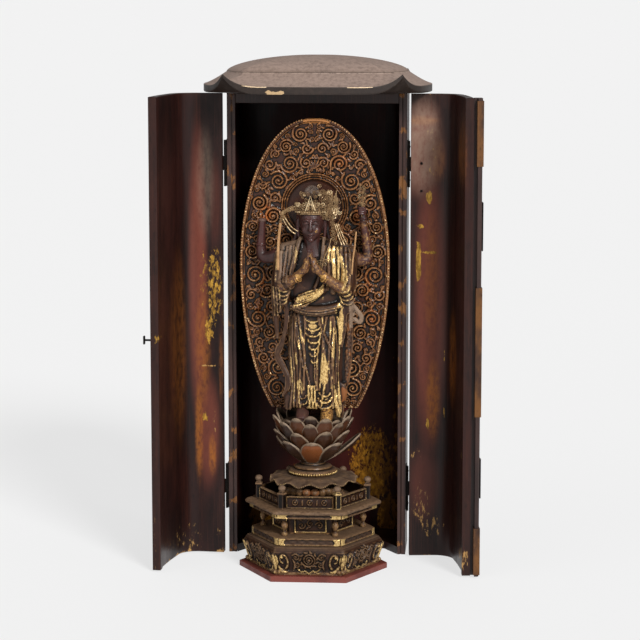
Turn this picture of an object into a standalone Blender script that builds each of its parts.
"""A lacquered household shrine: a curved cabinet with two hinged doors and an upswept roof,
and in front of its recess a carved four-armed standing figure on a lotus and a railed six-sided stand."""
from math import cos, pi, radians, sin, sqrt

import bmesh
import bpy
from mathutils import Matrix, Vector

MM = 0.001
GAP = 0.3 * MM

# Cabinet body. The origin is on the ground, midway across the plane of the body's front edges.
BODY_WIDTH = 210 * MM
BODY_HEIGHT = 546 * MM
BODY_DEPTH = 102 * MM
WALL = 8 * MM
BACK_CORNER = 30 * MM
STILE_WIDTH = 9.5 * MM
STILE_DEPTH = 10 * MM
STILE_BEAD = 1.6 * MM
FLOOR_THICK = 9 * MM
FLOOR_FRONT = 1 * MM
FLOOR_RECESS_DEPTH = 28 * MM
FLOOR_RECESS_WIDTH = 158 * MM
CEILING_THICK = 8 * MM
RAIL_HEIGHT = 12 * MM
RAIL_DEPTH = 9 * MM
EDGE_CHAMFER = 0.6 * MM

# Doors, drawn shut and then turned to their rest angle about the hinge pins.
DOOR_GAP = 4 * MM
DOOR_WALL = 8 * MM
DOOR_SIDE = 29 * MM
DOOR_CORNER = 30 * MM
DOOR_BOW = 5.5 * MM
DOOR_FOOT = 2 * MM
DOOR_OPEN = radians(95)
MEETING_GAP = 0.6 * MM
EDGE_STILE_WIDTH = 9 * MM
EDGE_STILE_PROUD = 1.5 * MM
ASTRAGAL_WEB = 4 * MM
ASTRAGAL_WEB_WIDTH = 8 * MM
ASTRAGAL_THICK = 5 * MM
ASTRAGAL_LAP = 4 * MM
ASTRAGAL_ROUND = 1.5 * MM
MOUNT_METAL = 0.8 * MM
# Each metal piece on the astragal runs between two shares of the body's height.
MOUNT_SPANS = {"top": (0.861, 0.9945), "middle": (0.3425, 0.6117), "bottom": (0.0073, 0.1062)}
FITTING_SPANS = {"upper": (0.6868, 0.7875), "lower": (0.1685, 0.2527)}
FITTING_WIDTH = 9 * MM
FITTING_THICK = 1.6 * MM
LATCH_HEIGHT = 269 * MM
LATCH_RADIUS = 1.2 * MM
LATCH_REACH = 9 * MM
LATCH_INSET = 9 * MM
LATCH_HEAD = (4 * MM, 2 * MM, 10 * MM)

# Iron hinges on the outer faces, with their pins in the gap between body and door.
HINGE_OUT = 2 * MM
HINGE_RADIUS = 1.7 * MM
HINGE_PIN = 0.8 * MM
HINGE_LEAF = 1.2 * MM
HINGE_LEAF_LENGTH = 14 * MM
HINGE_HEIGHT = 54 * MM
HINGE_STARTS = {"lower": 54 * MM, "upper": BODY_HEIGHT - 108.5 * MM}
HINGE_SIDES = 6

# Roof: the eaves curl up to four corner peaks below a low dome.
ROOF_CLEARANCE = 2 * MM
ROOF_CORNER_X = 102 * MM
ROOF_CORNER_FRONT = 74 * MM
ROOF_BACK_OVERHANG = 8 * MM
ROOF_SIDE_BOW = 31 * MM
ROOF_FRONT_BOW = 10 * MM
EAVE_THICK = 8.5 * MM
EAVE_LIFT = 19 * MM
PEAK_START = 0.5
PEAK_POWER = 3.5
SKIRT_RISE = 14 * MM
DOME_RISE = 19 * MM
SKIRT_SIDE_SHARE = 0.2
SKIRT_FRONT_SHARE = 0.26

# Stand, six-sided, a flat side to the front.
STAND_AHEAD = 63.5 * MM
BASE_SIDE = 86 * MM
BASE_THICK = 6.5 * MM
BASE_NICK = 0.6 * MM
TIER_SIDE = 82 * MM
TIER_HEIGHT = 32 * MM
TIER_RELIEF = 2.6 * MM
CARVED_SHARE = 0.72
MOULDING_SIDE = 73 * MM
MOULDING_HEIGHT = 9 * MM
MOULDING_LIP = 1.6 * MM
WAIST_SIDE = 48 * MM
WAIST_HEIGHT = 22 * MM
WAIST_PANEL_WIDTH = 37 * MM
WAIST_PANEL_PROUD = 1.8 * MM
PANEL_MARGIN = 1.5 * MM
PANEL_FRAME = 2.2 * MM
PANEL_SINK = 1 * MM
BALUSTER_RING = 58 * MM
BALUSTER_RADIUS = 4 * MM
PLATE_SIDE = 80 * MM
PLATE_HEIGHT = 10 * MM
RAILING_SIDE = 63 * MM
POST_RADIUS = 4.4 * MM
POST_HEIGHT = 27 * MM
PANEL_HEIGHT = 14 * MM
PANEL_THICK = 3.6 * MM
CLOUD_HEIGHT = 26 * MM
CLOUD_RING = 33 * MM
CLOUD_RIDGE = 2.4 * MM
CLOUD_RELIEF = 5 * MM
DISH_RADIUS = 50.5 * MM
DISH_THICK = 3.5 * MM
DISH_DROOP = 6 * MM
DISH_LOBES = 12
DISC_RADIUS = 28 * MM
DISC_HEIGHT = 13 * MM
LOTUS_RADIUS = 54 * MM
LOTUS_HEIGHT = 47.5 * MM
POD_RADIUS = 37 * MM
PETAL_TUCK = 1.1 * MM
PETAL_THICK = 1.3 * MM

# Mandorla: a carved egg-shaped board behind the figure.
MANDORLA_AHEAD = 31 * MM
MANDORLA_LIFT = 11 * MM
MANDORLA_HEADROOM = 27 * MM
MANDORLA_WIDTH = 173 * MM
MANDORLA_FOOT_WIDTH = 100 * MM
MANDORLA_WIDEST = 0.50
MANDORLA_THICK = 5 * MM
MANDORLA_RELIEF = 2.4 * MM
RIM_WIDTH = 5 * MM
HALO_SHARE = 0.845
HALO_RADIUS = 38 * MM
SCROLL_RADIUS = 11 * MM
SCROLL_WIDTH = 1.8 * MM
HALO_BAND = 3 * MM
HALO_SIDES = 20
HALO_STEP = 360 / HALO_SIDES
CARVING_SEAT = 1 * MM
MANDORLA_POST = (12 * MM, 5 * MM)
MANDORLA_CHAMFER = 0.8 * MM

# Figure: its pose is drawn 290 high and scaled to the height wanted.
FIGURE_HEIGHT = 290 * MM
FIGURE_DRAWN = 290.0
FIGURE_UNIT = FIGURE_HEIGHT / FIGURE_DRAWN
FIGURE_VOXEL = 1.7 * MM
FIGURE_SHARE = 0.034
CROWN_CLEARANCE = 2.0 * MM
CROWN_BAND = 1.6 * MM
STRIP_WIDTH = 2.6 * MM
STRIP_THICK = 0.9 * MM

# Heights that follow from the parts below them.
BASE_TOP = BASE_THICK
TIER_BOTTOM = BASE_TOP + GAP
TIER_TOP = TIER_BOTTOM + TIER_HEIGHT
MOULDING_BOTTOM = TIER_TOP + GAP
MOULDING_TOP = MOULDING_BOTTOM + MOULDING_HEIGHT
WAIST_BOTTOM = MOULDING_TOP + GAP
WAIST_TOP = WAIST_BOTTOM + WAIST_HEIGHT
PLATE_BOTTOM = WAIST_TOP + GAP
PLATE_TOP = PLATE_BOTTOM + PLATE_HEIGHT
CLOUD_BOTTOM = PLATE_TOP + GAP
CLOUD_TOP = CLOUD_BOTTOM + CLOUD_HEIGHT
DISH_BOTTOM = CLOUD_TOP + GAP
DISH_TOP = DISH_BOTTOM + DISH_THICK
DISC_BOTTOM = DISH_TOP + GAP
DISC_TOP = DISC_BOTTOM + DISC_HEIGHT
LOTUS_BOTTOM = DISC_TOP + GAP
LOTUS_TOP = LOTUS_BOTTOM + LOTUS_HEIGHT
FIGURE_BOTTOM = LOTUS_TOP + GAP
MANDORLA_BOTTOM = LOTUS_TOP + MANDORLA_LIFT
MANDORLA_HEIGHT = BODY_HEIGHT - MANDORLA_HEADROOM - MANDORLA_BOTTOM
HALO_HEIGHT = FIGURE_BOTTOM + HALO_SHARE * FIGURE_HEIGHT

HALF_WIDTH = BODY_WIDTH / 2
HINGE_X = HALF_WIDTH + HINGE_OUT
HINGE_Y = -DOOR_GAP / 2
STAND = Vector((0, -STAND_AHEAD, 0))

PARTS = None
CUTTERS = None


def clear_scene():
    for obj in list(bpy.data.objects):
        bpy.data.objects.remove(obj, do_unlink=True)


def new_collection(name):
    made = bpy.data.collections.new(name)
    bpy.context.scene.collection.children.link(made)
    return made


def lacquer(name, colour, roughness, metallic=0.0):
    """One Principled material, its colour given as red, green and blue shares."""
    made = bpy.data.materials.new(name)
    made.use_nodes = True
    shader = made.node_tree.nodes["Principled BSDF"]
    shader.inputs["Base Color"].default_value = (*colour, 1.0)
    shader.inputs["Roughness"].default_value = roughness
    shader.inputs["Metallic"].default_value = metallic
    return made


BLACK = (0.012, 0.009, 0.008)
RED = (0.09, 0.018, 0.012)
BRICK = (0.19, 0.045, 0.03)
BROWN = (0.055, 0.03, 0.02)
GILT = (0.42, 0.24, 0.06)
IRON = (0.01, 0.008, 0.008)


def add(name, mesh, colour, roughness=0.45, metallic=0.0, parent=None):
    """Put a mesh in the parts collection under its own name and material."""
    obj = bpy.data.objects.new(name, mesh)
    mesh.materials.clear()
    mesh.materials.append(lacquer(name, colour, roughness, metallic))
    PARTS.objects.link(obj)
    obj.parent = parent
    return obj


def add_cutter(name, mesh):
    obj = bpy.data.objects.new(name, mesh)
    CUTTERS.objects.link(obj)
    obj.hide_render = True
    obj.display_type = "WIRE"
    return obj


def join_to(obj, tool_mesh):
    """Union a mesh, of one or more islands, to an object."""
    tool = add_cutter(obj.name + "_carving", tool_mesh)
    union = obj.modifiers.new("Carving", "BOOLEAN")
    union.operation = "UNION"
    union.solver = "EXACT"
    union.use_self = True
    union.object = tool


def facet(obj, share):
    """Keep only a share of an object's facets, least seen first."""
    thin = obj.modifiers.new("Facet", "DECIMATE")
    thin.ratio = share
    thin.use_collapse_triangulate = True


def finish_mesh(name, bm):
    bmesh.ops.recalc_face_normals(bm, faces=bm.faces)
    mesh = bpy.data.meshes.new(name)
    bm.to_mesh(mesh)
    bm.free()
    return mesh


def flat_mesh(name, outlines, low, high):
    """Extrude flat outlines between two heights; an inner outline is a hole."""
    curve = bpy.data.curves.new(name, "CURVE")
    curve.dimensions = "2D"
    curve.fill_mode = "BOTH"
    curve.extrude = (high - low) / 2
    for outline in outlines:
        spline = curve.splines.new("POLY")
        spline.points.add(len(outline) - 1)
        spline.use_cyclic_u = True
        for point, place in zip(spline.points, outline):
            point.co = (place[0], place[1], 0, 1)
    drawn = bpy.data.objects.new(name, curve)
    bpy.context.scene.collection.objects.link(drawn)
    bpy.context.view_layer.update()
    evaluated = drawn.evaluated_get(bpy.context.evaluated_depsgraph_get())
    mesh = bpy.data.meshes.new_from_object(evaluated)
    bpy.data.objects.remove(drawn, do_unlink=True)
    bpy.data.curves.remove(curve)
    bm = bmesh.new()
    bm.from_mesh(mesh)
    bpy.data.meshes.remove(mesh)
    bmesh.ops.remove_doubles(bm, verts=bm.verts, dist=1e-6)
    bmesh.ops.translate(bm, verts=bm.verts, vec=(0, 0, (low + high) / 2))
    return finish_mesh(name, bm)


def arc(centre, radius, start, end, steps):
    """Points along a round stretch of an outline, angles in degrees."""
    points = []
    for step in range(steps + 1):
        angle = radians(start + (end - start) * step / steps)
        points.append((centre[0] + radius * cos(angle), centre[1] + radius * sin(angle)))
    return points


def mirrored(half):
    """Close an outline whose right half runs from back to front, or front to back."""
    return half + [(-x, y) for x, y in reversed(half)]


def box_mesh(name, low, high, bevel=0.0):
    bm = bmesh.new()
    bmesh.ops.create_cube(bm, size=1)
    size = [b - a for a, b in zip(low, high)]
    middle = [(a + b) / 2 for a, b in zip(low, high)]
    bmesh.ops.scale(bm, vec=size, verts=bm.verts)
    bmesh.ops.translate(bm, vec=middle, verts=bm.verts)
    if bevel:
        bmesh.ops.bevel(bm, geom=bm.edges, offset=bevel, segments=1, affect="EDGES")
    return finish_mesh(name, bm)


def turned(name, profile, steps, colour, centre=(0, 0, 0), turn=0.0, roughness=0.5, metallic=0.0):
    """Spin a profile of radius and height pairs, top to bottom, about the upright axis."""
    bm = bmesh.new()
    points = [bm.verts.new((radius, 0, height)) for radius, height in profile]
    for first, second in zip(points, points[1:]):
        bm.edges.new((first, second))
    mesh = bpy.data.meshes.new(name)
    bm.to_mesh(mesh)
    bm.free()
    obj = add(name, mesh, colour, roughness, metallic)
    obj.location = centre
    obj.rotation_euler[2] = turn
    screw = obj.modifiers.new("Turn", "SCREW")
    screw.steps = steps
    screw.render_steps = steps
    screw.use_merge_vertices = True
    screw.merge_threshold = 1e-5
    screw.use_smooth_shade = False
    return obj


def around(ring, index, count=6, start=0.0):
    """A place on a ring about the stand's axis."""
    angle = start + 2 * pi * index / count
    return Vector((ring * cos(angle), ring * sin(angle), 0)) + STAND


def spiral(bm, centre, across, up, out, radius, turns=1.6, steps=13, width=SCROLL_WIDTH, lift=TIER_RELIEF, hand=1):
    """Add a ridge that winds inwards on a face, wide where it starts and fine at its eye."""
    rings = []
    for step in range(steps + 1):
        share = step / steps
        angle = hand * (share * turns * 2 * pi) + pi / 2
        reach = radius * (1 - 0.82 * share ** 0.8)
        half = width * (1.15 - 0.4 * share)
        place = centre + across * (reach * cos(angle)) + up * (reach * sin(angle))
        radial = (across * cos(angle) + up * sin(angle)).normalized()
        rings.append([
            bm.verts.new(place - radial * half - out * lift),
            bm.verts.new(place + out * lift * (1 - 0.25 * share)),
            bm.verts.new(place + radial * half - out * lift),
        ])
    for first, second in zip(rings, rings[1:]):
        for corner in range(3):
            bm.faces.new((first[corner], first[(corner + 1) % 3], second[(corner + 1) % 3], second[corner]))
    bm.faces.new(rings[0])
    bm.faces.new(rings[-1])


def ball(bm, centre, radii, segments=8, rings=6, turn=None):
    """Add an ellipsoid."""
    made = bmesh.ops.create_uvsphere(bm, u_segments=segments, v_segments=rings, radius=1)
    verts = made["verts"]
    bmesh.ops.scale(bm, vec=radii, verts=verts)
    if turn:
        bmesh.ops.rotate(bm, cent=(0, 0, 0), matrix=turn, verts=verts)
    bmesh.ops.translate(bm, vec=centre, verts=verts)


def limb(bm, points, radii, sides=10, flat=1.0, facing=Vector((0, -1, 0))):
    """Add a closed tapering limb along points; flat thins it along the way it faces."""
    points = [Vector(point) for point in points]
    rings = []
    for index, (point, radius) in enumerate(zip(points, radii)):
        before = points[max(index - 1, 0)]
        after = points[min(index + 1, len(points) - 1)]
        along = (after - before).normalized()
        side = along.cross(facing).normalized()
        front = side.cross(along).normalized()
        ring = []
        for step in range(sides):
            angle = 2 * pi * step / sides
            ring.append(bm.verts.new(point + side * radius * cos(angle) + front * radius * flat * sin(angle)))
        rings.append(ring)
    for first, second in zip(rings, rings[1:]):
        for step in range(sides):
            nxt = (step + 1) % sides
            bm.faces.new((first[step], first[nxt], second[nxt], second[step]))
    bm.faces.new(rings[0])
    bm.faces.new(rings[-1])


# The cabinet body

def body_shell():
    """Sides and back, bent from one board, open to the front, behind the stiles."""
    front = STILE_DEPTH + GAP
    centre = (HALF_WIDTH - BACK_CORNER, BODY_DEPTH - BACK_CORNER)
    outer = [(HALF_WIDTH, front)] + arc(centre, BACK_CORNER, 0, 90, 7)
    inner = [(HALF_WIDTH - WALL, front)] + arc(centre, BACK_CORNER - WALL, 0, 90, 7)
    outline = outer + [(-x, y) for x, y in reversed(outer)]
    outline += [(-x, y) for x, y in inner] + list(reversed(inner))
    add("cabinet_shell", flat_mesh("cabinet_shell", [outline], 0, BODY_HEIGHT), BLACK, 0.35)


def stiles():
    """Front posts, each with a bead run down its face near the opening."""
    for name, side in (("stile_left", -1), ("stile_right", 1)):
        inside = HALF_WIDTH - STILE_WIDTH
        outline = [
            (side * inside, 0),
            (side * inside, STILE_DEPTH),
            (side * HALF_WIDTH, STILE_DEPTH),
            (side * HALF_WIDTH, 0),
            (side * (inside + 2.5 * STILE_BEAD), 0),
            (side * (inside + 2 * STILE_BEAD), STILE_BEAD),
            (side * (inside + 1.2 * STILE_BEAD), 0),
        ]
        add(name, flat_mesh(name, [outline], 0, BODY_HEIGHT), BLACK, 0.4)


def fitted_board(name, low, high, front, recess_width, recess_depth):
    """A level board that fits between the stiles and inside the bent wall."""
    corner = BACK_CORNER - WALL - GAP
    wall = HALF_WIDTH - WALL - GAP
    stile = HALF_WIDTH - STILE_WIDTH - GAP
    centre = (HALF_WIDTH - BACK_CORNER, BODY_DEPTH - BACK_CORNER)
    behind = STILE_DEPTH + GAP
    half = []
    if recess_depth:
        half.append((recess_width / 2, recess_depth))
    half += [(stile, front), (stile, behind), (wall, behind)]
    half += [(x, y) for x, y in arc(centre, corner, 0, 90, 6)]
    add(name, flat_mesh(name, [mirrored(half)], low, high), RED, 0.5)


def boards():
    fitted_board("floor_board", 0, FLOOR_THICK, FLOOR_FRONT, FLOOR_RECESS_WIDTH, FLOOR_RECESS_DEPTH)
    fitted_board("ceiling_board", BODY_HEIGHT - CEILING_THICK, BODY_HEIGHT, RAIL_DEPTH + GAP, 0, 0)
    inside = HALF_WIDTH - STILE_WIDTH - GAP
    rail = box_mesh("top_rail", (-inside, 0, BODY_HEIGHT - RAIL_HEIGHT), (inside, RAIL_DEPTH, BODY_HEIGHT),
                    EDGE_CHAMFER)
    add("top_rail", rail, BLACK, 0.4)


# The roof

def roof_outline(count_side):
    """Plan points of the eaves with each one's lift share, counter-clockwise from the front right peak."""
    front = -ROOF_CORNER_FRONT
    back = BODY_DEPTH + ROOF_BACK_OVERHANG
    middle = (front + back) / 2
    corners = [(ROOF_CORNER_X, front), (ROOF_CORNER_X, back), (-ROOF_CORNER_X, back), (-ROOF_CORNER_X, front)]
    bows = [(ROOF_SIDE_BOW, 0), (0, ROOF_FRONT_BOW), (-ROOF_SIDE_BOW, 0), (0, -ROOF_FRONT_BOW)]
    points = []
    for side in range(4):
        start = corners[side]
        end = corners[(side + 1) % 4]
        for step in range(count_side):
            share = (1 - cos(pi * step / count_side)) / 2
            bow = 4 * share * (1 - share)
            x = start[0] + (end[0] - start[0]) * share + bows[side][0] * bow
            y = start[1] + (end[1] - start[1]) * share + bows[side][1] * bow
            off = max(0.0, (abs(2 * share - 1) - PEAK_START) / (1 - PEAK_START))
            points.append((x, y, off ** PEAK_POWER))
    return points, (0, middle)


def roof():
    outline, middle = roof_outline(10)
    bottom = BODY_HEIGHT + ROOF_CLEARANCE
    top = bottom + EAVE_THICK
    break_height = top + SKIRT_RISE
    rings = []

    def ring(shrink, height_of, shrink_front=None):
        made = []
        for x, y, lift in outline:
            place_x = middle[0] + (x - middle[0]) * shrink
            place_y = middle[1] + (y - middle[1]) * (shrink_front or shrink)
            made.append(bm.verts.new((place_x, place_y, height_of(lift))))
        rings.append(made)

    bm = bmesh.new()
    ring(0.88, lambda lift: bottom)
    ring(0.965, lambda lift: bottom + EAVE_LIFT * 0.3 * lift)
    ring(1.0, lambda lift: bottom + EAVE_LIFT * lift)
    ring(1.0, lambda lift: top + EAVE_LIFT * 0.75 * lift)
    for share in (0.35, 0.7, 1.0):
        rise = share ** 1.3
        flat_lift = (1 - share) ** 2
        ring(1 - SKIRT_SIDE_SHARE * share,
             lambda lift, r=rise, f=flat_lift: top + SKIRT_RISE * r + EAVE_LIFT * 0.75 * lift * f,
             1 - SKIRT_FRONT_SHARE * share)
    for share in (0.16, 0.42, 0.75):
        ring((1 - SKIRT_SIDE_SHARE) * (1 - share),
             lambda lift, s=share: break_height + DOME_RISE * (1 - (1 - s) ** 2) ** 0.6,
             (1 - SKIRT_FRONT_SHARE) * (1 - share))
    for first, second in zip(rings, rings[1:]):
        for step in range(len(outline)):
            nxt = (step + 1) % len(outline)
            bm.faces.new((first[step], first[nxt], second[nxt], second[step]))
    for edge_ring, height in ((rings[0], bottom), (rings[-1], break_height + DOME_RISE)):
        tip = bm.verts.new((middle[0], middle[1], height))
        for step in range(len(outline)):
            nxt = (step + 1) % len(outline)
            bm.faces.new((edge_ring[step], edge_ring[nxt], tip))
    add("roof", finish_mesh("roof", bm), BLACK, 0.6)


# The doors

def door_depth(x):
    """How far the outer face of a shut door stands ahead of the gap's front, at x from the middle."""
    flat_end = HALF_WIDTH - DOOR_CORNER
    return DOOR_SIDE + DOOR_CORNER + DOOR_BOW * (1 - (x / flat_end) ** 2)


def door_face_y(x):
    return -DOOR_GAP - door_depth(x)


def door_outline(side):
    """Plan of a shut door: straight side, round corner and a bowed front to the meeting edge."""
    flat_end = HALF_WIDTH - DOOR_CORNER
    meeting = MEETING_GAP / 2
    centre = (flat_end, -DOOR_GAP - DOOR_SIDE)
    outer = [(HALF_WIDTH, -DOOR_GAP)] + arc(centre, DOOR_CORNER, 0, -90, 7)
    inner = [(HALF_WIDTH - DOOR_WALL, -DOOR_GAP)] + arc(centre, DOOR_CORNER - DOOR_WALL, 0, -90, 7)
    for share in (0.7, 0.4):
        outer.append((flat_end * share, door_face_y(flat_end * share)))
        inner.append((flat_end * share, door_face_y(flat_end * share) + DOOR_WALL))
    edge = meeting + EDGE_STILE_WIDTH
    outer.append((meeting, door_face_y(meeting)))
    inner.append((edge, door_face_y(edge) + DOOR_WALL))
    inner.append((edge, door_face_y(meeting) + DOOR_WALL + EDGE_STILE_PROUD))
    inner.append((meeting, door_face_y(meeting) + DOOR_WALL + EDGE_STILE_PROUD))
    return [(side * x, y) for x, y in outer + list(reversed(inner))]


def to_hinge(mesh, side):
    """Move a mesh drawn with the door shut so that its hinge axis is the origin."""
    mesh.transform(Matrix.Translation((-side * HINGE_X, -HINGE_Y, 0)))
    return mesh


def astragal_outline():
    """Strip on the right door's edge that laps over the left one, on a narrower web."""
    face = door_face_y(0) - GAP
    web_start = ASTRAGAL_LAP
    web_end = web_start + ASTRAGAL_WEB_WIDTH
    lip = face - ASTRAGAL_WEB
    front = lip - ASTRAGAL_THICK
    return [
        (web_end, face), (web_start, face), (web_start, lip), (-ASTRAGAL_LAP, lip),
        (-ASTRAGAL_LAP, front + ASTRAGAL_ROUND), (-ASTRAGAL_LAP + ASTRAGAL_ROUND, front),
        (web_end - ASTRAGAL_ROUND, front), (web_end, front + ASTRAGAL_ROUND),
    ]


def mount_outline():
    """Thin metal folded round the lip of the astragal."""
    face = door_face_y(0) - GAP
    lip = face - ASTRAGAL_WEB
    front = lip - ASTRAGAL_THICK
    inside_end = ASTRAGAL_LAP - 2 * GAP
    outside_end = ASTRAGAL_LAP + ASTRAGAL_WEB_WIDTH
    near = -ASTRAGAL_LAP - GAP
    return [
        (inside_end, lip + GAP), (inside_end, lip + GAP + MOUNT_METAL),
        (near - MOUNT_METAL, lip + GAP + MOUNT_METAL), (near - MOUNT_METAL, front - GAP - MOUNT_METAL),
        (outside_end, front - GAP - MOUNT_METAL), (outside_end, front - GAP),
        (near, front - GAP), (near, lip + GAP),
    ]


def latch_pin_mesh():
    """A turn pin on the left door's face with a crosswise head."""
    at_x = -LATCH_INSET
    face = door_face_y(at_x) - GAP
    bm = bmesh.new()
    made = bmesh.ops.create_cone(bm, segments=8, radius1=LATCH_RADIUS, radius2=LATCH_RADIUS,
                                 depth=LATCH_REACH, cap_ends=True)
    bmesh.ops.rotate(bm, cent=(0, 0, 0), matrix=Matrix.Rotation(pi / 2, 3, "X"), verts=made["verts"])
    bmesh.ops.translate(bm, vec=(at_x, face - LATCH_REACH / 2, LATCH_HEIGHT), verts=made["verts"])
    return finish_mesh("latch_pin", bm)


def latch_pin(parent):
    obj = add("latch_pin", to_hinge(latch_pin_mesh(), -1), IRON, 0.5, 0.6, parent)
    half = [size / 2 for size in LATCH_HEAD]
    y = door_face_y(-LATCH_INSET) - GAP - LATCH_REACH
    head = box_mesh("latch_head", (-LATCH_INSET - half[0], y - half[1], LATCH_HEIGHT - half[2]),
                    (-LATCH_INSET + half[0], y + half[1], LATCH_HEIGHT + half[2]), EDGE_CHAMFER)
    tool = add_cutter("latch_head", to_hinge(head, -1))
    tool.parent = parent
    union = obj.modifiers.new("Head", "BOOLEAN")
    union.operation = "UNION"
    union.solver = "EXACT"
    union.object = tool


def door_axis(name, side):
    """The empty on a door's hinge axis, turned to the rest angle."""
    empty = bpy.data.objects.new(name, None)
    PARTS.objects.link(empty)
    empty.location = (side * HINGE_X, HINGE_Y, 0)
    empty.rotation_euler[2] = side * DOOR_OPEN
    return empty


def doors():
    """Both doors with what is fixed to them; returns the empties on their hinge axes."""
    axes = {side: door_axis(name, side) for name, side in (("left_door_axis", -1), ("right_door_axis", 1))}
    for name, side in (("door_left", -1), ("door_right", 1)):
        mesh = flat_mesh(name, [door_outline(side)], DOOR_FOOT, BODY_HEIGHT)
        add(name, to_hinge(mesh, side), RED, 0.35, parent=axes[side])
    strip = flat_mesh("astragal", [astragal_outline()], DOOR_FOOT, BODY_HEIGHT)
    add("astragal", to_hinge(strip, 1), BLACK, 0.4, parent=axes[1])
    for place, (low, high) in MOUNT_SPANS.items():
        name = "astragal_mount_" + place
        mesh = flat_mesh(name, [mount_outline()], low * BODY_HEIGHT, high * BODY_HEIGHT)
        add(name, to_hinge(mesh, 1), GILT, 0.4, 1.0, axes[1])
    front = door_face_y(0) - GAP - ASTRAGAL_WEB - ASTRAGAL_THICK - GAP
    middle = ASTRAGAL_WEB_WIDTH / 2
    for place, (low, high) in FITTING_SPANS.items():
        name = "astragal_fitting_" + place
        mesh = box_mesh(name, (middle - FITTING_WIDTH / 2, front - FITTING_THICK, low * BODY_HEIGHT),
                        (middle + FITTING_WIDTH / 2, front, high * BODY_HEIGHT), EDGE_CHAMFER)
        add(name, to_hinge(mesh, 1), IRON, 0.5, 0.7, axes[1])
    latch_pin(axes[-1])
    return axes


def knuckle(bm, low, high, hole):
    """A short barrel on the hinge axis; with a hole it is a tube, without one it is solid."""
    rings = []
    radii = (HINGE_RADIUS, HINGE_RADIUS) + ((hole, hole) if hole else ())
    heights = (low, high) + ((high, low) if hole else ())
    for radius, height in zip(radii, heights):
        ring = []
        for step in range(HINGE_SIDES):
            angle = 2 * pi * (step + 0.5) / HINGE_SIDES
            ring.append(bm.verts.new((radius * cos(angle), radius * sin(angle), height)))
        rings.append(ring)
    pairs = list(zip(rings, rings[1:]))
    if hole:
        pairs.append((rings[-1], rings[0]))
    for first, second in pairs:
        for step in range(HINGE_SIDES):
            nxt = (step + 1) % HINGE_SIDES
            bm.faces.new((first[step], first[nxt], second[nxt], second[step]))
    if not hole:
        bm.faces.new(rings[0])
        bm.faces.new(rings[-1])


def pin(bm, low, high):
    made = bmesh.ops.create_cone(bm, segments=HINGE_SIDES, radius1=HINGE_PIN, radius2=HINGE_PIN,
                                 depth=high - low, cap_ends=True)
    bmesh.ops.translate(bm, vec=(0, 0, (low + high) / 2), verts=made["verts"])


def leaf_box(bm, side, ahead_low, ahead_high, low, high):
    """Part of a hinge leaf, flat on the outer face, between two distances along the face."""
    made = bmesh.ops.create_cube(bm, size=1)
    face = -side * (HINGE_OUT - GAP)
    outer = face + side * HINGE_LEAF
    size = (abs(outer - face), abs(ahead_high - ahead_low), high - low)
    bmesh.ops.scale(bm, vec=size, verts=made["verts"])
    middle = ((face + outer) / 2, (ahead_low + ahead_high) / 2, (low + high) / 2)
    bmesh.ops.translate(bm, vec=middle, verts=made["verts"])


def hinge(name, side, start, parent):
    """Two iron leaves: the body's has the outer knuckles and the pin, the door's the middle knuckle."""
    end = start + HINGE_HEIGHT
    third = HINGE_HEIGHT / 3
    spans = [(start, start + third), (start + third + GAP, end - third - GAP), (end - third, end)]
    clear = HINGE_RADIUS + 2 * GAP
    bm = bmesh.new()
    leaf_box(bm, side, clear, clear + HINGE_LEAF_LENGTH, start, end)
    plate = finish_mesh(name + "_body_leaf", bm)
    obj = add(name + "_body_leaf", plate, IRON, 0.5, 0.7)
    obj.location = (side * HINGE_X, HINGE_Y, 0)
    bm = bmesh.new()
    for low, high in (spans[0], spans[2]):
        knuckle(bm, low, high, 0)
        leaf_box(bm, side, 0.2 * HINGE_RADIUS, clear + GAP, low + GAP, high - GAP)
    pin(bm, start + GAP, end - GAP)
    join_at(obj, finish_mesh(name, bm))
    bm = bmesh.new()
    leaf_box(bm, side, -clear, -clear - HINGE_LEAF_LENGTH, start, end)
    plate = finish_mesh(name + "_door_leaf", bm)
    obj = add(name + "_door_leaf", plate, IRON, 0.5, 0.7, parent)
    bm = bmesh.new()
    low, high = spans[1]
    knuckle(bm, low, high, HINGE_PIN + GAP)
    leaf_box(bm, side, -0.75 * HINGE_RADIUS, -clear - GAP, low + GAP, high - GAP)
    join_at(obj, finish_mesh(name, bm))


def join_at(obj, mesh):
    """Union a mesh drawn about the same origin as the object it joins."""
    join_to(obj, mesh)
    tool = CUTTERS.objects[obj.name + "_carving"]
    tool.parent = obj.parent
    tool.location = obj.location


def hinges(axes):
    for place, start in HINGE_STARTS.items():
        hinge("hinge_left_" + place, -1, start, axes[-1])
        hinge("hinge_right_" + place, 1, start, axes[1])


# The stand

def hexagon(name, profile, colour, roughness=0.55):
    return turned(name, profile, 6, colour, STAND, 0.0, roughness)


def stand_base():
    hexagon("base_board", [
        (0, BASE_THICK), (BASE_SIDE - BASE_NICK, BASE_THICK), (BASE_SIDE, BASE_THICK - BASE_NICK),
        (BASE_SIDE, 0), (0, 0)], BRICK)


def face_frames():
    """Outward, across and upward directions of the stand's six faces."""
    for index in range(6):
        angle = radians(30 + 60 * index)
        out = Vector((cos(angle), sin(angle), 0))
        yield index, out, Vector((-sin(angle), cos(angle), 0)), Vector((0, 0, 1))


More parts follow.
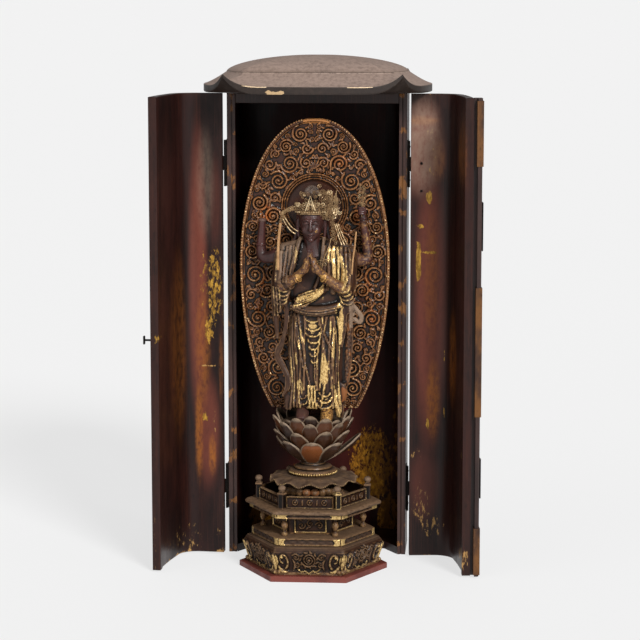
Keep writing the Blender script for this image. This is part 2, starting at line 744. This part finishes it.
def carved_tier():
    """A cabriole body with a rosette and scrolls on each face and scroll feet at the corners."""
    shares = [(0.90, 1.0), (0.97, 0.93), (1.0, 0.78), (0.985, 0.6), (0.945, 0.38), (0.93, 0.18), (0.95, 0.0)]
    profile = [(0, TIER_TOP)]
    profile += [(TIER_SIDE * radius, TIER_BOTTOM + TIER_HEIGHT * height) for radius, height in shares]
    profile.append((0, TIER_BOTTOM))
    obj = hexagon("carved_tier", profile, BROWN)
    bm = bmesh.new()
    apothem = TIER_SIDE * cos(pi / 6)
    middle = TIER_BOTTOM + 0.5 * TIER_HEIGHT
    for index, out, across, up in face_frames():
        centre = out * (apothem * 0.965) + up * middle
        spiral(bm, centre, across, up, out, 0.35 * TIER_HEIGHT, 1.25, 8, SCROLL_WIDTH, TIER_RELIEF)
        for side in (-1, 1):
            place = centre + across * side * 0.26 * TIER_SIDE - up * 0.06 * TIER_HEIGHT
            spiral(bm, place, across, up, out, 0.2 * TIER_HEIGHT, 0.6, 3, 0.9 * SCROLL_WIDTH, TIER_RELIEF, side)
    for index in range(6):
        angle = 2 * pi * index / 6
        out = Vector((cos(angle), sin(angle), 0))
        turn = Matrix.Rotation(angle, 3, "Z")
        reach = TIER_SIDE * 0.93
        ball(bm, out * reach + up * (TIER_BOTTOM + 0.5 * TIER_HEIGHT),
             (0.09 * TIER_SIDE, 0.12 * TIER_SIDE, 0.4 * TIER_HEIGHT), 6, 4, turn)
    join_to(obj, finish_mesh("tier_carving", bm))
    facet(obj, CARVED_SHARE)
    CUTTERS.objects["carved_tier_carving"].location = STAND


def mouldings():
    hexagon("lower_moulding", [
        (0, MOULDING_TOP), (MOULDING_SIDE - 3 * MOULDING_LIP, MOULDING_TOP),
        (MOULDING_SIDE, MOULDING_TOP - MOULDING_LIP), (MOULDING_SIDE, MOULDING_BOTTOM + MOULDING_LIP),
        (MOULDING_SIDE - MOULDING_LIP, MOULDING_BOTTOM), (0, MOULDING_BOTTOM)], BROWN)
    hexagon("upper_plate", [
        (0, PLATE_TOP), (PLATE_SIDE - MOULDING_LIP, PLATE_TOP), (PLATE_SIDE, PLATE_TOP - MOULDING_LIP),
        (PLATE_SIDE, PLATE_TOP - 0.45 * PLATE_HEIGHT),
        (PLATE_SIDE - 2 * MOULDING_LIP, PLATE_TOP - 0.5 * PLATE_HEIGHT),
        (PLATE_SIDE - 3 * MOULDING_LIP, PLATE_BOTTOM), (0, PLATE_BOTTOM)], BROWN)


def waist_panel_mesh():
    """A sunk panel with a raised frame, drawn facing +X with its middle at the origin."""
    half = WAIST_PANEL_WIDTH / 2
    half_height = WAIST_HEIGHT / 2 - PANEL_MARGIN
    mesh = box_mesh("waist_panel", (-WAIST_PANEL_PROUD, -half, -half_height),
                    (WAIST_PANEL_PROUD, half, half_height))
    bm = bmesh.new()
    bm.from_mesh(mesh)
    bpy.data.meshes.remove(mesh)
    outer = [face for face in bm.faces if face.normal.x > 0.9]
    bmesh.ops.inset_region(bm, faces=outer, thickness=PANEL_FRAME, depth=-PANEL_SINK)
    return finish_mesh("waist_panel", bm)


def waist():
    obj = hexagon("waist", [(0, WAIST_TOP), (WAIST_SIDE, WAIST_TOP), (WAIST_SIDE, WAIST_BOTTOM),
                            (0, WAIST_BOTTOM)], BROWN)
    bm = bmesh.new()
    apothem = WAIST_SIDE * cos(pi / 6)
    for index, out, across, up in face_frames():
        mesh = waist_panel_mesh()
        place = out * apothem + up * (WAIST_BOTTOM + WAIST_HEIGHT / 2)
        mesh.transform(Matrix.Translation(place) @ Matrix.Rotation(radians(30 + 60 * index), 4, "Z"))
        bm.from_mesh(mesh)
        bpy.data.meshes.remove(mesh)
    join_to(obj, finish_mesh("waist_panels", bm))
    CUTTERS.objects["waist_carving"].location = STAND
    low = WAIST_BOTTOM
    shares = [(0.8, 1.0), (0.8, 0.9), (0.45, 0.82), (1.0, 0.5), (0.45, 0.18), (0.85, 0.0)]
    profile = [(0, WAIST_TOP)]
    profile += [(BALUSTER_RADIUS * radius, low + WAIST_HEIGHT * height) for radius, height in shares]
    profile.append((0, low))
    for index in range(6):
        turned(f"waist_baluster_{index + 1}", profile, 6, BROWN, around(BALUSTER_RING, index), pi / 3 * index)


def railing():
    low = PLATE_TOP + GAP
    shares = [(0.4, 1.0), (0.95, 0.88), (0.5, 0.75), (1.0, 0.71), (1.0, 0.62), (0.85, 0.6), (0.85, 0.0)]
    profile = [(0, low + POST_HEIGHT)]
    profile += [(POST_RADIUS * radius, low + POST_HEIGHT * height) for radius, height in shares]
    profile.append((0, low))
    for index in range(6):
        turned(f"railing_post_{index + 1}", profile, 6, BROWN, around(RAILING_SIDE, index), pi / 3 * index)
    half = (RAILING_SIDE / 2 - POST_RADIUS - GAP)
    apothem = RAILING_SIDE * cos(pi / 6)
    for index, out, across, up in face_frames():
        name = f"railing_panel_{index + 1}"
        panel = box_mesh(name, (-PANEL_THICK / 2, -half, low), (PANEL_THICK / 2, half, low + PANEL_HEIGHT))
        obj = add(name, panel, BROWN, 0.5)
        obj.location = STAND + out * apothem
        obj.rotation_euler[2] = radians(30 + 60 * index)
        bm = bmesh.new()
        for place in (-1, 0, 1):
            made = bmesh.ops.create_cone(bm, segments=6, radius1=0.3 * PANEL_HEIGHT,
                                         radius2=0.2 * PANEL_HEIGHT, depth=PANEL_THICK / 2, cap_ends=True)
            bmesh.ops.rotate(bm, cent=(0, 0, 0), matrix=Matrix.Rotation(pi / 2, 3, "Y"), verts=made["verts"])
            bmesh.ops.translate(bm, vec=(0.6 * PANEL_THICK, place * 0.55 * half, low + PANEL_HEIGHT / 2),
                                verts=made["verts"])
        join_to(obj, finish_mesh(name, bm))
        tool = CUTTERS.objects[name + "_carving"]
        tool.location = obj.location
        tool.rotation_euler = obj.rotation_euler


def cloud_mount():
    """Rolling clouds that carry the dish, a pair of curls to each side of the stand."""
    low = CLOUD_BOTTOM
    obj = turned("cloud_mount", [
        (0, CLOUD_TOP), (0.6 * CLOUD_RING, CLOUD_TOP), (0.75 * CLOUD_RING, low + 0.6 * CLOUD_HEIGHT),
        (1.1 * CLOUD_RING, low + 0.15 * CLOUD_HEIGHT), (1.1 * CLOUD_RING, low), (0, low)], 10, BROWN, STAND)
    bm = bmesh.new()
    for index in range(6):
        angle = radians(60 * index + 30)
        out = Vector((cos(angle), sin(angle), 0))
        across = Vector((-sin(angle), cos(angle), 0))
        centre = out * CLOUD_RING + Vector((0, 0, low + 0.5 * CLOUD_HEIGHT))
        hand = 1 if index % 2 else -1
        spiral(bm, centre, across, Vector((0, 0, 1)), out, 0.36 * CLOUD_HEIGHT, 0.9, 6, CLOUD_RIDGE,
               CLOUD_RELIEF, hand)
    join_to(obj, finish_mesh("clouds", bm))
    CUTTERS.objects["cloud_mount_carving"].location = STAND


def leaf_dish():
    """A lotus-leaf dish whose lobed edge droops."""
    count = DISH_LOBES * 3
    bm = bmesh.new()
    rings = []

    def ring(share, height, droop):
        made = []
        for step in range(count):
            angle = 2 * pi * step / count
            wave = (1 - cos(DISH_LOBES * angle)) / 2
            radius = DISH_RADIUS * share * (1 + 0.03 * wave * droop)
            z = height - DISH_DROOP * droop * (0.35 + 0.65 * wave)
            made.append(bm.verts.new((radius * cos(angle), radius * sin(angle), z)))
        rings.append(made)

    ring(0.35, DISH_TOP, 0)
    ring(0.82, DISH_TOP, 0)
    ring(1.0, DISH_TOP, 1)
    ring(0.96, DISH_TOP - 0.45 * DISH_THICK, 1)
    ring(0.78, DISH_BOTTOM, 0)
    for first, second in zip(rings, rings[1:]):
        for step in range(count):
            nxt = (step + 1) % count
            bm.faces.new((first[step], first[nxt], second[nxt], second[step]))
    bm.faces.new(rings[0])
    bm.faces.new(rings[-1])
    bmesh.ops.translate(bm, vec=STAND, verts=bm.verts)
    add("leaf_dish", finish_mesh("leaf_dish", bm), BROWN, 0.6)


def beaded_disc():
    shares = [(0.5, 1.0), (0.5, 0.86), (0.76, 0.68), (0.74, 0.48), (0.96, 0.4), (1.0, 0.2), (0.92, 0.0)]
    profile = [(0, DISC_TOP)]
    profile += [(DISC_RADIUS * radius, DISC_BOTTOM + DISC_HEIGHT * height) for radius, height in shares]
    profile.append((0, DISC_BOTTOM))
    turned("beaded_disc", profile, 16, BROWN, STAND)


def petal(bm, angle, root, tip, width, cup):
    """Add one thick lotus petal: root and tip are radius and height pairs, the sides cup upwards."""
    out = Vector((cos(angle), sin(angle), 0))
    across = Vector((-sin(angle), cos(angle), 0))
    up = Vector((0, 0, 1))
    rows = []
    for share, spread in ((0.0, 0.6), (0.55, 1.0), (1.0, 0.1)):
        bend = share ** 1.8
        radius = root[0] + (tip[0] - root[0]) * sin(share * pi / 2)
        height = root[1] + (tip[1] - root[1]) * bend
        row = []
        for side in (-1, 0, 1):
            lift = cup * (abs(side) * (1 - share * 0.6))
            tuck = side * PETAL_TUCK - abs(side) * 0.35 * cup
            place = out * (radius + tuck) + across * side * width * spread / 2 + up * (height + lift)
            row.append(place)
        rows.append(row)
    front = [[bm.verts.new(place + (up - out) * PETAL_THICK) for place in row] for row in rows]
    back = [[bm.verts.new(place - (up - out * 0.6) * PETAL_THICK) for place in row] for row in rows]
    for grid in (front, back):
        for first, second in zip(grid, grid[1:]):
            for column in range(2):
                bm.faces.new((first[column], first[column + 1], second[column + 1], second[column]))
    for row in (0, -1):
        for column in range(2):
            nxt = column + 1
            bm.faces.new((front[row][column], front[row][nxt], back[row][nxt], back[row][column]))
    for column in (0, -1):
        for row in range(len(rows) - 1):
            nxt = row + 1
            bm.faces.new((front[row][column], front[nxt][column], back[nxt][column], back[row][column]))


def lotus():
    """A seed pod with three tiers of upturned petals."""
    low = LOTUS_BOTTOM
    tall = LOTUS_HEIGHT
    obj = turned("lotus", [
        (0, LOTUS_TOP), (POD_RADIUS, LOTUS_TOP), (POD_RADIUS, low + 0.86 * tall),
        (0.8 * POD_RADIUS, low + 0.45 * tall),
        (0.5 * POD_RADIUS, low + 0.12 * tall), (0.4 * POD_RADIUS, low), (0, low)], 12, BROWN, STAND)
    bm = bmesh.new()
    tiers = [
        (7, 0.0, (0.28, 0.12), (0.93, 0.42), 0.62, 0.05),
        (7, 0.5, (0.32, 0.3), (1.0, 0.72), 0.66, 0.06),
        (7, 0.0, (0.4, 0.5), (0.95, 0.96), 0.66, 0.07),
    ]
    for count, offset, root, tip, width, cup in tiers:
        for index in range(count):
            angle = 2 * pi * (index + offset) / count + pi / 2
            petal(bm, angle, (LOTUS_RADIUS * root[0], low + tall * root[1]),
                  (LOTUS_RADIUS * tip[0], low + tall * tip[1]), LOTUS_RADIUS * width, tall * cup)
    join_to(obj, finish_mesh("petals", bm))
    facet(obj, CARVED_SHARE)
    CUTTERS.objects["lotus_carving"].location = STAND


# The mandorla

def mandorla_half_width(share):
    """Half width of the egg at a share of its height, cut off level at the foot."""
    foot = MANDORLA_FOOT_WIDTH / MANDORLA_WIDTH
    if share < MANDORLA_WIDEST:
        fall = 1 - share / MANDORLA_WIDEST
        reach = sqrt(max(0.0, 1 - (1 - foot ** 2) * fall ** 2))
    else:
        rise = (share - MANDORLA_WIDEST) / (1 - MANDORLA_WIDEST)
        reach = sqrt(max(0.0, 1 - rise ** 2)) ** 0.92
    return MANDORLA_WIDTH / 2 * reach


def mandorla_outline(inset, steps):
    """The egg outline, x against height, drawn in from the edge by an inset."""
    half = []
    for step in range(steps + 1):
        share = (1 - cos(pi * step / steps)) / 2
        shrink = 1 - 2 * inset / MANDORLA_HEIGHT
        height = MANDORLA_BOTTOM + MANDORLA_HEIGHT * (0.5 + (share - 0.5) * shrink)
        half.append((max(mandorla_half_width(share) - inset, 0.0), height))
    if half[-1][0] <= 0:
        half[-1] = (0.0, half[-1][1])
        return half + [(-x, y) for x, y in reversed(half[:-1])]
    return mirrored(half)


def stand_upright(mesh):
    """Turn a mesh drawn flat, x against height, upright, facing the front."""
    mesh.transform(Matrix.Rotation(pi / 2, 4, "X"))
    return mesh


def mandorla():
    back = MANDORLA_AHEAD
    front = back + MANDORLA_THICK
    edge = mandorla_outline(0, 16)
    board = stand_upright(flat_mesh("mandorla", [edge], back, front))
    obj = add("mandorla", board, BROWN, 0.5)
    rim = flat_mesh("rim", [edge, mandorla_outline(RIM_WIDTH, 14)], front - CARVING_SEAT,
                    front + MANDORLA_RELIEF)
    bm = bmesh.new()
    bm.from_mesh(stand_upright(rim))
    across = Vector((1, 0, 0))
    up = Vector((0, 0, 1))
    out = Vector((0, -1, 0))
    face = -front
    for index in range(6):
        share = 0.14 + 0.13 * index
        height = MANDORLA_BOTTOM + MANDORLA_HEIGHT * share
        reach = mandorla_half_width(share) - RIM_WIDTH - 1.25 * SCROLL_RADIUS
        for side in (-1, 1):
            spiral(bm, Vector((side * reach, face, height)), across, up, out, SCROLL_RADIUS, 1.2, 8,
                   SCROLL_WIDTH, MANDORLA_RELIEF, side * (1 if index % 2 else -1))
    height = HALO_HEIGHT + HALO_RADIUS + 1.4 * SCROLL_RADIUS
    for side in (-1, 1):
        spiral(bm, Vector((side * 1.4 * SCROLL_RADIUS, face, height)), across, up, out, SCROLL_RADIUS, 1.2, 8,
               SCROLL_WIDTH, MANDORLA_RELIEF, side)
    join_to(obj, finish_mesh("mandorla_carving", bm))
    halo = bmesh.new()
    outer = arc((0, HALO_HEIGHT), HALO_RADIUS, 0, 360 - HALO_STEP, HALO_SIDES - 1)
    inner = arc((0, HALO_HEIGHT), HALO_RADIUS - HALO_BAND, 0, 360 - HALO_STEP, HALO_SIDES - 1)
    ring = flat_mesh("halo", [outer, inner], front - CARVING_SEAT, front + MANDORLA_RELIEF)
    halo.from_mesh(stand_upright(ring))
    tool = add_cutter("halo_ring", finish_mesh("halo_ring", halo))
    union = obj.modifiers.new("Halo", "BOOLEAN")
    union.operation = "UNION"
    union.solver = "EXACT"
    union.use_self = True
    union.object = tool
    facet(obj, CARVED_SHARE)
    post_front = -(back - GAP)
    width, deep = MANDORLA_POST
    post = box_mesh("mandorla_post", (-width / 2, post_front, LOTUS_TOP + GAP),
                    (width / 2, post_front + deep, MANDORLA_BOTTOM + 0.2 * MANDORLA_HEIGHT), MANDORLA_CHAMFER)
    add("mandorla_post", post, BROWN, 0.6)


# The figure. Its drawing is x to the right, a distance ahead of the stand's axis, and a height.

def pose(x, ahead, height):
    unit = FIGURE_UNIT
    return Vector((x * unit, -STAND_AHEAD - ahead * unit, FIGURE_BOTTOM + height * unit))


def figure_limb(bm, stations, sides=10, flat=1.0):
    """A limb from stations of x, ahead, height and radius."""
    radii = [radius * FIGURE_UNIT for x, ahead, height, radius in stations]
    limb(bm, [pose(x, ahead, height) for x, ahead, height, radius in stations], radii, sides, flat)


def figure_ball(bm, x, ahead, height, radii):
    ball(bm, pose(x, ahead, height), [radius * FIGURE_UNIT for radius in radii], 16, 12)


def draped_body(bm):
    """Robe and skirt as one loft of oval sections, ribbed by long folds."""
    sections = [
        (3, 0, 206, 13, 9, 0), (4, 0, 203, 36, 12, 0), (4, 0, 198, 46, 14, 0.01), (4, 0, 190, 47, 16, 0.02),
        (4, 1, 172, 47, 18, 0.04), (3, 2, 152, 44, 19, 0.05), (4, 2, 138, 33, 18, 0.05),
        (5, 2, 122, 33, 18, 0.06), (5, 2, 95, 35, 20, 0.08), (5, 2, 60, 33, 21, 0.1),
        (5, 2, 30, 33, 21, 0.12), (4, 2, 8, 36, 22, 0.14), (4, 2, 5, 24, 16, 0.05),
    ]
    count = 44
    rings = []
    for x, ahead, height, half, deep, fold in sections:
        ring = []
        for step in range(count):
            angle = 2 * pi * step / count
            ripple = 1 + fold * sin(11 * angle + height / 25)
            place = pose(x + half * ripple * cos(angle), ahead + deep * ripple * sin(angle), height)
            ring.append(bm.verts.new(place))
        rings.append(ring)
    for first, second in zip(rings, rings[1:]):
        for step in range(count):
            nxt = (step + 1) % count
            bm.faces.new((first[step], first[nxt], second[nxt], second[step]))
    bm.faces.new(rings[0])
    bm.faces.new(rings[-1])


def figure_arms(bm):
    figure_limb(bm, [(-36, 10, 178, 9.5), (-36, 18, 161, 9.5), (-31, 24, 160, 7.5), (-12, 34, 173, 5)])
    figure_limb(bm, [(41, 10, 174, 9.5), (39, 18, 159, 9.5), (34, 24, 159, 7.5), (12, 34, 174, 5)])
    figure_limb(bm, [(-12, 34, 172, 4.6), (-4, 36, 184, 5.5), (-1, 35, 198, 2.2)], 8, 0.6)
    figure_limb(bm, [(12, 34, 173, 4.6), (4, 36, 184, 5.5), (0, 35, 198, 2.2)], 8, 0.6)
    figure_limb(bm, [(-30, -4, 190, 9), (-52, -10, 186, 7.5), (-61, -12, 190, 7), (-60, -12, 210, 6),
                     (-59, -12, 233, 4.6)])
    figure_limb(bm, [(36, -4, 186, 9), (53, -10, 184, 7.5), (62, -12, 186, 7), (60, -12, 210, 6),
                     (56, -12, 236, 4.6)])
    figure_ball(bm, 55, -10, 242, (6, 5, 6))


def figure_head(bm):
    figure_limb(bm, [(1, 4, 196, 12), (0, 7, 206, 9.5), (-1, 7, 222, 10)])
    figure_ball(bm, -1, 9, 232, (14.5, 16, 22))
    figure_ball(bm, -1, 6, 240, (15.5, 16.5, 16))
    figure_ball(bm, -1, 4, 260, (8.5, 8.5, 12))
    figure_limb(bm, [(-1, 24, 238, 1.5), (-1, 26.5, 229, 2.6), (-1, 24, 226, 1.6)], 8)
    for side in (-1, 1):
        figure_limb(bm, [(-1 + side * 15, 7, 238, 2), (-1 + side * 16, 7, 228, 2.2),
                         (-1 + side * 15, 7, 220, 1.8)], 6)


def figure_drapery(bm):
    """Rolled edges of the robe, the sash, the hanging ends and the bowed folds over the legs."""
    figure_limb(bm, [(-13, 16, 203, 3), (-14, 20, 185, 3), (-10, 22, 165, 3), (8, 24, 148, 3)], 6)
    figure_limb(bm, [(12, 16, 203, 3), (12, 21, 185, 3), (10, 22, 166, 3)], 6)
    for index in range(3):
        drop = 5 * index
        figure_limb(bm, [(-22, 20, 146 - drop, 2), (0, 24, 143 - drop, 2.4), (22, 20, 156 - drop, 2)], 6)
    figure_limb(bm, [(-24, 16, 137, 4), (4, 22, 134, 5), (30, 16, 137, 4)], 8)
    for index in range(4):
        height = 118 - 13 * index
        half = 15 - 1.5 * index
        figure_limb(bm, [(4 - half, 20, height + 10, 1.6), (4, 25, height, 2.2),
                         (4 + half, 20, height + 10, 1.6)], 6)
    for index in range(4):
        height = 24 - 6 * index
        figure_limb(bm, [(7, 22, height + 12, 1.5), (16, 26, height, 2), (25, 22, height + 12, 1.5)], 6)
    figure_limb(bm, [(17, 14, 95, 10), (17, 17, 70, 10), (16, 17, 40, 9), (16, 16, 12, 8)], 10)
    figure_limb(bm, [(-9, 12, 95, 9), (-9, 14, 60, 9), (-8, 14, 14, 8)], 10)
    figure_limb(bm, [(-32, 8, 172, 5), (-38, 8, 140, 5), (-42, 8, 90, 5), (-36, 6, 60, 4.5),
                     (-42, 6, 36, 3)], 8)
    figure_limb(bm, [(44, 8, 165, 5), (42, 8, 120, 5), (40, 6, 80, 4.5), (38, 4, 38, 4)], 8)
    figure_limb(bm, [(-11, 14, 3.4, 6.5), (-11, 27, 2.6, 5.6), (-11, 33, 2.4, 4)], 10, 0.5)
    figure_limb(bm, [(17, 14, 3.4, 6.5), (17, 27, 2.6, 5.6), (17, 33, 2.4, 4)], 10, 0.5)


def figure():
    bm = bmesh.new()
    draped_body(bm)
    figure_arms(bm)
    figure_head(bm)
    figure_drapery(bm)
    obj = add("figure", finish_mesh("figure", bm), GILT, 0.5)
    remesh = obj.modifiers.new("Carve", "REMESH")
    remesh.mode = "VOXEL"
    remesh.voxel_size = FIGURE_VOXEL
    facet(obj, FIGURE_SHARE)


def crown():
    """A metal band on the hair with a pointed front, one bent strip and a tangled side."""
    centre = pose(-1, 7.2, 243)
    inner = 16.5 * FIGURE_UNIT + CROWN_CLEARANCE
    half = 3 * FIGURE_UNIT
    count = 16
    bm = bmesh.new()
    rings = []
    outer = inner + CROWN_BAND
    for radius, height in ((inner, -half), (outer, -half), (outer + 0.5 * CROWN_BAND, half), (inner, half)):
        ring = []
        for step in range(count):
            angle = 2 * pi * step / count
            across = Vector((radius * cos(angle), radius * sin(angle), height))
            ring.append(bm.verts.new(centre + across))
        rings.append(ring)
    for first, second in zip(rings, rings[1:] + rings[:1]):
        for step in range(count):
            nxt = (step + 1) % count
            bm.faces.new((first[step], first[nxt], second[nxt], second[step]))
    obj = add("crown", finish_mesh("crown", bm), GILT, 0.45, 1.0)
    bm = bmesh.new()
    figure_limb(bm, [(-1, 27.2, 242, 6), (-1, 27.6, 252, 5), (-1, 26, 264, 0.6)], 6, 0.25)
    figure_limb(bm, [(-19, 14.2, 243, 2.4), (-28, 16, 245, 2.4), (-37, 16, 239, 3)], 6, 0.5)
    figure_limb(bm, [(17, 14.2, 243, 3.5), (27, 17, 246, 6), (34, 14, 256, 4)], 6, 0.5)
    figure_limb(bm, [(25, 17, 241, 3.5), (28, 17, 226, 4), (31, 18, 210, 2)], 6, 0.5)
    join_to(obj, finish_mesh("crown_leaves", bm))


def strips():
    """Tan metal strips that hang from the crown past the shoulders."""
    runs = {
        "pendant_strip_left": [(-35.4, 20, 231), (-38, 22, 215), (-39, 24, 200), (-38, 24.5, 178)],
        "pendant_strip_right": [(50.5, 22, 222), (49, 24, 205), (47, 26, 190), (46, 27, 174)],
    }
    for name, stations in runs.items():
        bm = bmesh.new()
        points = [pose(*station) for station in stations]
        limb(bm, points, [STRIP_WIDTH / 2] * len(points), 4, STRIP_THICK / STRIP_WIDTH)
        add(name, finish_mesh(name, bm), GILT, 0.5, 0.8)


def build():
    global PARTS, CUTTERS
    clear_scene()
    PARTS = new_collection("buddhist_altar_cabinet")
    CUTTERS = new_collection("cutters")
    body_shell()
    stiles()
    boards()
    roof()
    axes = doors()
    hinges(axes)
    stand_base()
    carved_tier()
    mouldings()
    waist()
    railing()
    cloud_mount()
    leaf_dish()
    beaded_disc()
    lotus()
    mandorla()
    figure()
    crown()
    strips()


build()
